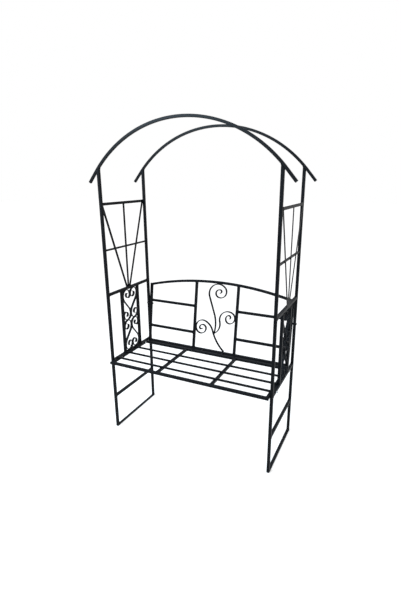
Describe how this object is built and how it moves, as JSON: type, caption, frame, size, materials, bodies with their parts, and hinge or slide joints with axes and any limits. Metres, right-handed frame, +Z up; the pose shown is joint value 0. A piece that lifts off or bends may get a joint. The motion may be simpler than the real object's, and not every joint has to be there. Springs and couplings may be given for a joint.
{
  "type": "arbor bench",
  "caption": "Garden arbor bench: twin arches on side panels with fans and scrolls, carrying a slatted seat and a reclined scrollwork backrest.",
  "frame": {"origin": "on the ground, under the middle of the bench's overall width and depth", "axes": "+X to the right as seen from the front, +Y to the back, +Z up"},
  "size_m": [1.136, 0.4924, 1.806],
  "materials": {
    "black_steel": "near-black powder coat, satin",
    "black_plastic": "black moulded plastic",
    "zinc_steel": "zinc-plated bolts and nuts"
  },
  "bodies": {
    "root": {"arch_caps": "black_plastic", "back_arch": "black_steel", "back_bottom_rail": "black_steel", "back_crown_rail": "black_steel", "back_left_inner_stile": "black_steel", "back_left_outer_stile": "black_steel", "back_left_rungs": "black_steel", "back_right_inner_stile": "black_steel", "back_right_outer_stile": "black_steel", "back_right_rungs": "black_steel", "foot_plugs": "black_plastic", "front_arch": "black_steel", "left_arm_rail": "black_steel", "left_back_post": "black_steel", "left_fan_back": "black_steel", "left_fan_center": "black_steel", "left_fan_front": "black_steel", "left_front_post": "black_steel", "left_mid_rail": "black_steel", "left_scroll_lower_back": "black_steel", "left_scroll_lower_front": "black_steel", "left_scroll_stiles": "black_steel", "left_scroll_upper_back": "black_steel", "left_scroll_upper_front": "black_steel", "left_seat_support": "black_steel", "left_sill": "black_steel", "left_stretcher": "black_steel", "left_top_rail": "black_steel", "ornament_leaf": "black_steel", "ornament_plume": "black_steel", "ornament_stem": "black_steel", "rail_bolts": "black_steel", "right_arm_rail": "black_steel", "right_back_post": "black_steel", "right_fan_back": "black_steel", "right_fan_center": "black_steel", "right_fan_front": "black_steel", "right_front_post": "black_steel", "right_mid_rail": "black_steel", "right_scroll_lower_back": "black_steel", "right_scroll_lower_front": "black_steel", "right_scroll_stiles": "black_steel", "right_scroll_upper_back": "black_steel", "right_scroll_upper_front": "black_steel", "right_seat_support": "black_steel", "right_sill": "black_steel", "right_stretcher": "black_steel", "right_top_rail": "black_steel", "seat_back_rail": "black_steel", "seat_bolts": "zinc_steel", "seat_front_rail": "black_steel", "seat_left_cross_bar": "black_steel", "seat_left_rail": "black_steel", "seat_right_cross_bar": "black_steel", "seat_right_rail": "black_steel", "seat_slat_1": "black_steel", "seat_slat_2": "black_steel", "seat_slat_3": "black_steel", "spacers": "black_steel", "stile_bolts": "black_steel"}
  },
  "joints": []
}
